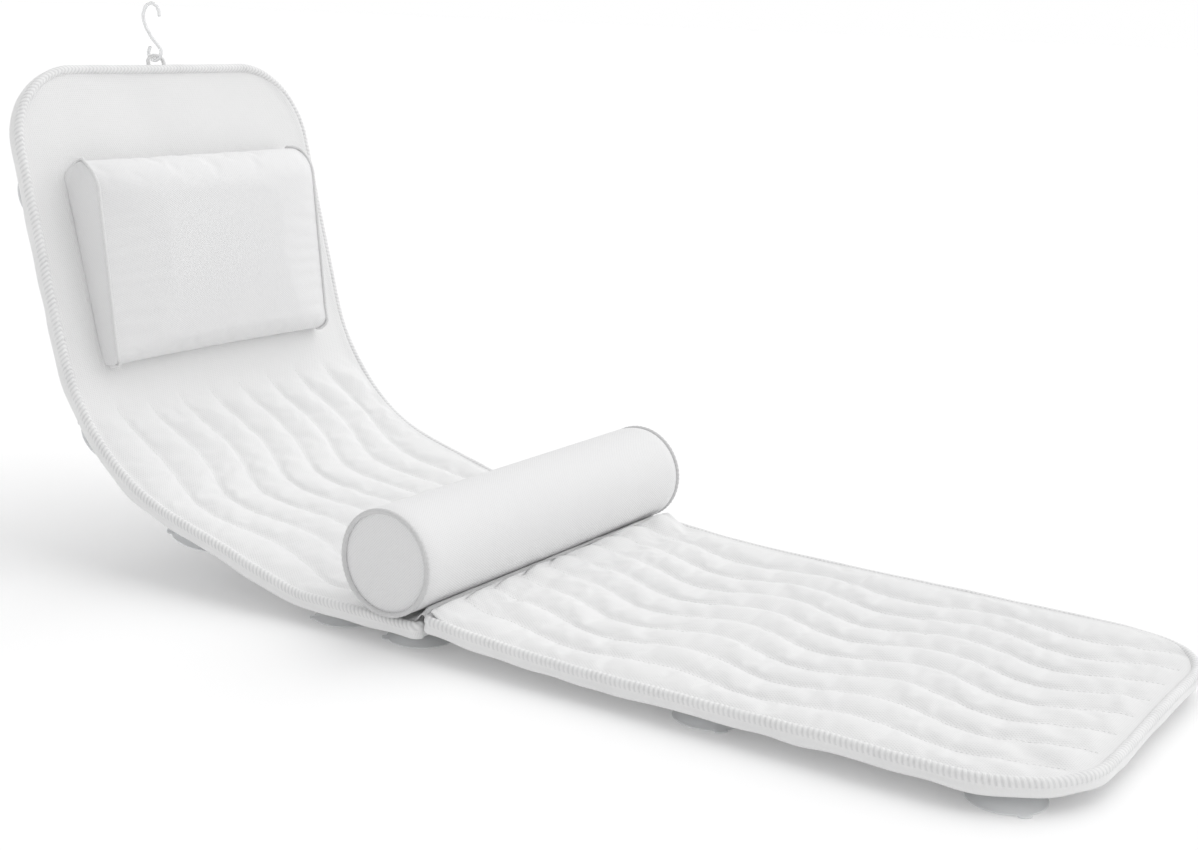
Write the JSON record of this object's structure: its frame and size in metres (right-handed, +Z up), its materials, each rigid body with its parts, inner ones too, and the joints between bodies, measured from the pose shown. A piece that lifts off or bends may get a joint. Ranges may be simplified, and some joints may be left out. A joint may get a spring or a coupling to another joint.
{
  "type": "bath pillow",
  "caption": "Full length quilted mesh bath mat pillow with a reclining back, a wedge headrest, a round bolster, suction cups and a hanging hook.",
  "frame": {"origin": "middle of the overall box's base, on the floor that the suction cups stand on", "axes": "+X from the head end towards the foot end, +Y across the mat from the near side to the far side, +Z up"},
  "size_m": [1.041, 0.3942, 0.5019],
  "materials": {
    "mesh_cloth": "matte white three layer air mesh",
    "edge_tape": "matte white woven edge tape",
    "filling": "off white open filling",
    "grip_strip": "white hook and loop strip",
    "clear_cup": "glossy, clear soft vinyl",
    "hook_plastic": "glossy, clear white"
  },
  "bodies": {
    "leg_section": {"leg_backing": "mesh_cloth", "leg_padding": "filling", "leg_top_cover": "mesh_cloth", "leg_binding": "edge_tape", "fold_tape": "edge_tape", "leg_cup_patch_1": "mesh_cloth", "leg_cup_patch_2": "mesh_cloth", "leg_cup_patch_3": "mesh_cloth", "leg_cup_patch_4": "mesh_cloth"},
    "back_section": {"back_backing": "mesh_cloth", "back_padding": "filling", "back_top_cover": "mesh_cloth", "back_binding": "edge_tape", "back_cup_patch_1": "mesh_cloth", "back_cup_patch_2": "mesh_cloth", "back_cup_patch_3": "mesh_cloth", "back_cup_patch_4": "mesh_cloth", "back_cup_patch_5": "mesh_cloth", "back_cup_patch_6": "mesh_cloth", "back_cup_patch_7": "mesh_cloth", "back_cup_patch_8": "mesh_cloth", "back_cup_patch_9": "mesh_cloth", "back_cup_patch_10": "mesh_cloth", "headrest_loop_strip_upper": "grip_strip", "headrest_loop_strip_lower": "grip_strip", "bolster_loop_strip": "grip_strip", "hanging_loop": "edge_tape"},
    "headrest": {"headrest_cover": "mesh_cloth", "headrest_core": "filling", "headrest_back_panel": "mesh_cloth", "headrest_gusset_near": "mesh_cloth", "headrest_gusset_far": "mesh_cloth", "headrest_piping_near": "edge_tape", "headrest_piping_far": "edge_tape", "headrest_hook_strip_upper": "grip_strip", "headrest_hook_strip_lower": "grip_strip"},
    "bolster": {"bolster_sleeve": "mesh_cloth", "bolster_core": "filling", "bolster_end_near": "mesh_cloth", "bolster_end_far": "mesh_cloth", "bolster_piping_near": "edge_tape", "bolster_piping_far": "edge_tape", "bolster_hook_strip": "grip_strip"},
    "hook": {"hanging_hook": "hook_plastic"},
    "leg_cup_1": {"leg_cup_1": "clear_cup"},
    "leg_cup_2": {"leg_cup_2": "clear_cup"},
    "leg_cup_3": {"leg_cup_3": "clear_cup"},
    "leg_cup_4": {"leg_cup_4": "clear_cup"},
    "back_cup_1": {"back_cup_1": "clear_cup"},
    "back_cup_2": {"back_cup_2": "clear_cup"},
    "back_cup_3": {"back_cup_3": "clear_cup"},
    "back_cup_4": {"back_cup_4": "clear_cup"},
    "back_cup_5": {"back_cup_5": "clear_cup"},
    "back_cup_6": {"back_cup_6": "clear_cup"},
    "back_cup_7": {"back_cup_7": "clear_cup"},
    "back_cup_8": {"back_cup_8": "clear_cup"},
    "back_cup_9": {"back_cup_9": "clear_cup"},
    "back_cup_10": {"back_cup_10": "clear_cup"}
  },
  "joints": [
    {"name": "back_fold", "type": "hinge", "parent": "leg_section", "child": "back_section", "pos_m": [-0.01623, 0, 0.027], "axis": [0, 1, 0], "range_deg": [0, 45]},
    {"name": "headrest_lift", "type": "slide", "parent": "back_section", "child": "headrest", "axis": [0.9659, 0, 0.2588], "range_m": [0, 0.12]},
    {"name": "bolster_lift", "type": "slide", "parent": "back_section", "child": "bolster", "axis": [0, 0, 1], "range_m": [0, 0.15]},
    {"name": "hook_swing", "type": "hinge", "parent": "back_section", "child": "hook", "pos_m": [-0.50442, 0, 0.45069], "axis": [0, 1, 0], "range_deg": [-50, 50]},
    {"name": "leg_cup_1_swivel", "type": "hinge", "parent": "leg_section", "child": "leg_cup_1", "pos_m": [0.23154, -0.1515, 0], "axis": [0, 0, 1], "continuous": true},
    {"name": "leg_cup_2_swivel", "type": "hinge", "parent": "leg_section", "child": "leg_cup_2", "pos_m": [0.23154, 0.1515, 0], "axis": [0, 0, 1], "continuous": true},
    {"name": "leg_cup_3_swivel", "type": "hinge", "parent": "leg_section", "child": "leg_cup_3", "pos_m": [0.46254, -0.1515, 0], "axis": [0, 0, 1], "continuous": true},
    {"name": "leg_cup_4_swivel", "type": "hinge", "parent": "leg_section", "child": "leg_cup_4", "pos_m": [0.46254, 0.1515, 0], "axis": [0, 0, 1], "continuous": true},
    {"name": "back_cup_1_swivel", "type": "hinge", "parent": "back_section", "child": "back_cup_1", "pos_m": [-0.04323, -0.1515, 0], "axis": [0, 0, 1], "continuous": true},
    {"name": "back_cup_2_swivel", "type": "hinge", "parent": "back_section", "child": "back_cup_2", "pos_m": [-0.04323, 0.1515, 0], "axis": [0, 0, 1], "continuous": true},
    {"name": "back_cup_3_swivel", "type": "hinge", "parent": "back_section", "child": "back_cup_3", "pos_m": [-0.12223, -0.1515, 0], "axis": [0, 0, 1], "continuous": true},
    {"name": "back_cup_4_swivel", "type": "hinge", "parent": "back_section", "child": "back_cup_4", "pos_m": [-0.12223, 0.1515, 0], "axis": [0, 0, 1], "continuous": true},
    {"name": "back_cup_5_swivel", "type": "hinge", "parent": "back_section", "child": "back_cup_5", "pos_m": [-0.29257, -0.1515, 0.03796], "axis": [0.2588, 0, 0.9659], "continuous": true},
    {"name": "back_cup_6_swivel", "type": "hinge", "parent": "back_section", "child": "back_cup_6", "pos_m": [-0.29257, 0.1515, 0.03796], "axis": [0.2588, 0, 0.9659], "continuous": true},
    {"name": "back_cup_7_swivel", "type": "hinge", "parent": "back_section", "child": "back_cup_7", "pos_m": [-0.41217, -0.1515, 0.11043], "axis": [0.7647, 0, 0.6443], "continuous": true},
    {"name": "back_cup_8_swivel", "type": "hinge", "parent": "back_section", "child": "back_cup_8", "pos_m": [-0.41217, 0.1515, 0.11043], "axis": [0.7647, 0, 0.6443], "continuous": true},
    {"name": "back_cup_9_swivel", "type": "hinge", "parent": "back_section", "child": "back_cup_9", "pos_m": [-0.49238, -0.1515, 0.33041], "axis": [0.9659, 0, 0.2588], "continuous": true},
    {"name": "back_cup_10_swivel", "type": "hinge", "parent": "back_section", "child": "back_cup_10", "pos_m": [-0.49238, 0.1515, 0.33041], "axis": [0.9659, 0, 0.2588], "continuous": true}
  ]
}
